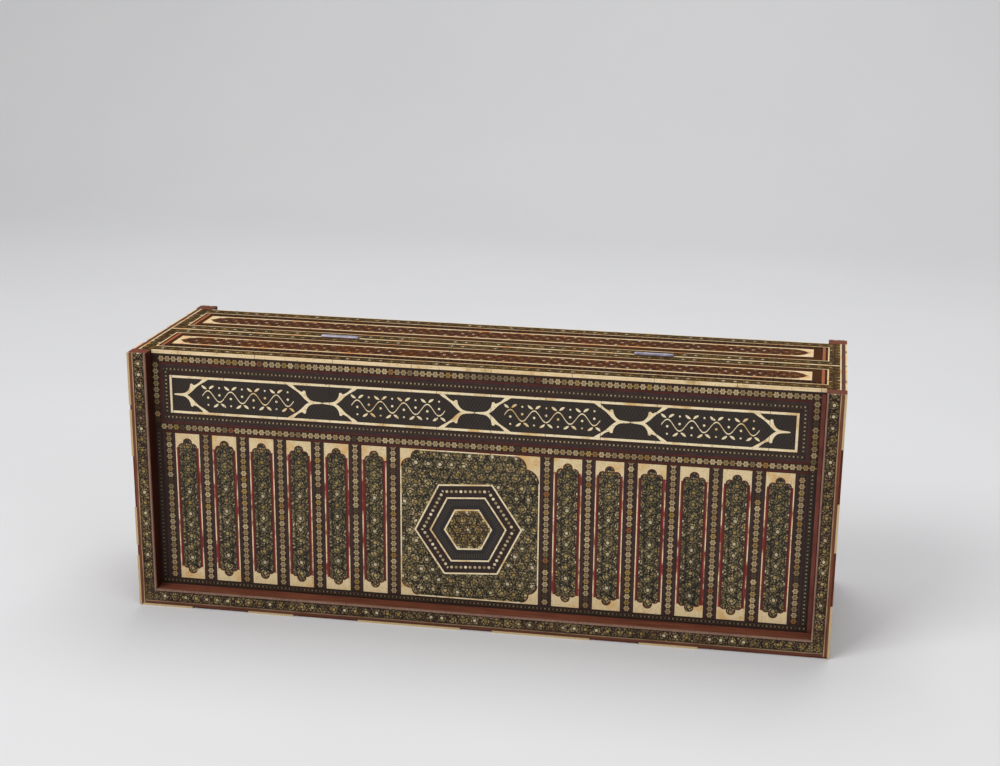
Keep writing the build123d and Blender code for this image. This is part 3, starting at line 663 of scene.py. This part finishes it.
def cartouche_finish():
    """Gilded mosaic, redder than the borders, along the middle of each half of the top."""
    finish = Finish("cartouche_mosaic")
    across = finish.depth - CARTOUCHE_ROW
    return laid_mosaic(finish, finish.x, across, CARTOUCHE_TINTS, paint(84, 38, 8), gloss=0.02)


def end_mosaic_finish():
    """Brown star mosaic in a frame on each end of the box."""
    finish = Finish("end_mosaic")
    sides = from_lines(finish.depth, END_ROWS)
    rows = from_lines(finish.z, END_HEIGHTS)
    level = abs(rows).below(END_REACH)
    u, v = level.pick(finish.depth, finish.z), level.pick(rows, sides)
    return laid_mosaic(finish, u, v, RIM_TINTS, UMBER)


# ---- metal --------------------------------------------------------------------------------------
def hinge_finish():
    """Dull silver, rubbed along its length and darkened in patches."""
    finish = Finish("hinge_silver")
    rub = finish.noise(2.0, lengthwise(X, 0.05))
    tarnish = finish.noise(0.15, shift=6.0)
    colour = finish.mix(tarnish * 1.4 - 0.2, paint(92, 86, 96), SILVER)
    return finish.close(colour, rub * 0.25 + 0.28, rub, 0.03, metallic=0.75)


# ---- dressing the solids ------------------------------------------------------------------------
def finishes():
    """The finish of each kind of piece."""
    long_wood = carcass_finish(X, paint(144, 85, 63))
    upright_wood = carcass_finish(Z, paint(134, 68, 42))
    bone = bone_finish("bone", CREAM, IVORY, HONEY, 0.42, X)
    silver = hinge_finish()
    return {
        "playing_board": board_finish(),
        "hinge_wall": long_wood,
        "foot_wall": long_wood,
        "left_end_wall": upright_wood,
        "right_end_wall": upright_wood,
        "rim_mosaic": rim_mosaic_finish(),
        "rim_wood_strip": rim_strip_finish(),
        "rim_edging": rim_edging_finish(),
        "top_mosaic": top_mosaic_finish(),
        "top_lines": bone_finish("top_bone", CREAM, HONEY, PEACH, 0.40, X, gloss=0.02),
        "top_cartouche": cartouche_finish(),
        "top_ground": top_ground_finish(),
        "end_mosaics": end_mosaic_finish(),
        "arris_strip": bone_finish("arris_bone", CREAM, HONEY, OCHRE, 0.32, X, joint_step=63.0),
        "star_bands": star_band_finish(),
        "dot_bands": dot_band_finish(),
        "purple_strips": purple_finish(),
        "red_strips": red_finish(),
        "panel_ground": panel_ground_finish(),
        "panel_inlay": bone,
        "cell_mosaics": cell_mosaic_finish(),
        "cell_borders": border_finish(),
        "cell_spandrels": bone_finish("spandrel_bone", IVORY, STRAW, HONEY, 0.42, Z, joint_step=400.0),
        "cell_strings": bone_finish("string_bone", CREAM, HONEY, BRICK, 0.46, Z),
        "medallion_mosaic": medallion_finish(),
        "hexagon_lines": bone,
        "hexagon_bands": hexagon_band_finish(),
        "hinge_leaves": silver,
        "hinge_nails": silver,
        "hinge_pins": silver}


def dress():
    """Gives every solid the finish of its kind, the same in the front and the rear tray."""
    wanted = finishes()
    for name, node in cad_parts.items():
        kind = name.removeprefix("front_").removeprefix("rear_")
        node.data.materials.clear()
        node.data.materials.append(wanted[kind])


# ---- stage, light and camera, in metres ---------------------------------------------------------
def sweep_surface(width, front, back, rise, bend):
    """Floor and backdrop in one sheet: flat, then a quarter circle of radius bend, then upright."""
    turn = np.linspace(0, pi / 2, 17)
    across = np.array((-width / 2, width / 2))
    profile = np.concatenate((
        [[front, 0.0]],
        np.column_stack((back + bend * np.sin(turn), bend * (1 - np.cos(turn)))),
        [[back + bend, rise]]))
    x = np.repeat(across[None, :], len(profile), 0)
    y = np.repeat(profile[:, :1], 2, 1)
    z = np.repeat(profile[:, 1:], 2, 1)
    vertices = np.stack((x, y, z), -1).reshape(-1, 3)
    first = np.arange(len(profile) - 1) * 2
    faces = np.column_stack((first, first + 1, first + 3, first + 2))
    mesh = bpy.data.meshes.new("studio_sweep")
    mesh.from_pydata(vertices.tolist(), [], faces.tolist())
    mesh.polygons.foreach_set("use_smooth", [True] * len(faces))
    return mesh


def stage():
    """Pale grey paper that runs from the floor up into the backdrop."""
    finish = Finish("studio_paper")
    tone = finish.noise(0.002)
    colour = finish.mix(tone, paint(214, 214, 216), paint(222, 222, 223))
    sweep = sweep_surface(width=30.0, front=-14.0, back=1.6, rise=4.0, bend=1.0)
    sheet = bpy.data.objects.new("studio_sweep", sweep)
    bpy.context.scene.collection.objects.link(sheet)
    sheet.data.materials.append(finish.close(colour, tone * 0.1 + 0.75))


def lamp(name, place, aim, size, power):
    """Square soft box of this size, at a place and turned to what it lights."""
    light = bpy.data.lights.new(name, "AREA")
    light.size = size
    light.energy = power
    carrier = bpy.data.objects.new(name, light)
    place = Vector(place)
    turn = (Vector(aim) - place).to_track_quat("-Z", "Y").to_matrix().to_4x4()
    carrier.matrix_world = Matrix.Translation(place) @ turn
    bpy.context.scene.collection.objects.link(carrier)


def light_the_room():
    """Key from the front left, fill from the front right, a top light behind, and even white air."""
    lamp("key", place=(-1.4, -1.8, 2.2), aim=(0, 0, 0.1), size=1.6, power=46)
    lamp("fill", place=(1.9, -1.9, 1.2), aim=(0, 0, 0.1), size=1.8, power=18)
    lamp("top", place=(0.1, 0.9, 2.2), aim=(0, 0, 0.15), size=1.4, power=22)
    world = bpy.data.worlds.new("studio_air")
    world.use_nodes = True
    air = world.node_tree.nodes["Background"]
    air.inputs["Color"].default_value = (1, 1, 1, 1)
    air.inputs["Strength"].default_value = 0.42
    bpy.context.scene.world = world
    bpy.context.scene.view_settings.view_transform = "Standard"


IMAGE_WIDTH = 1000               # in pixels, as are the next three
FOCAL_LENGTH = 1765.28
PRINCIPAL_POINT = (550.0, 440.0)
IMAGE_MIDDLE = (500.0, 383.0)
CAMERA_PLACE = (0.2534, -1.3631, 0.5636)
CAMERA_YAW, CAMERA_PITCH, CAMERA_ROLL = 0.15184, -0.30017, 0.01897


def camera():
    """Camera looking along yaw, pitch and roll, its lens axis at the principal point."""
    ahead = Vector((-sin(CAMERA_YAW), cos(CAMERA_YAW), 0)) * cos(CAMERA_PITCH)
    forward = ahead + Vector((0, 0, sin(CAMERA_PITCH)))
    right = Vector((cos(CAMERA_YAW), sin(CAMERA_YAW), 0))
    up = right.cross(forward)
    side = right * cos(CAMERA_ROLL) + up * sin(CAMERA_ROLL)
    top = up * cos(CAMERA_ROLL) - right * sin(CAMERA_ROLL)
    lens = bpy.data.cameras.new("camera")
    lens.sensor_width = 36.0
    lens.lens = lens.sensor_width * FOCAL_LENGTH / IMAGE_WIDTH
    lens.shift_x = (IMAGE_MIDDLE[0] - PRINCIPAL_POINT[0]) / IMAGE_WIDTH
    lens.shift_y = (PRINCIPAL_POINT[1] - IMAGE_MIDDLE[1]) / IMAGE_WIDTH
    lens.clip_start = 0.01
    eye = bpy.data.objects.new("camera", lens)
    turn = Matrix((side, top, -forward)).transposed().to_4x4()
    eye.matrix_world = Matrix.Translation(CAMERA_PLACE) @ turn
    bpy.context.scene.collection.objects.link(eye)
    bpy.context.scene.camera = eye


camera()
stage()
light_the_room()
dress()
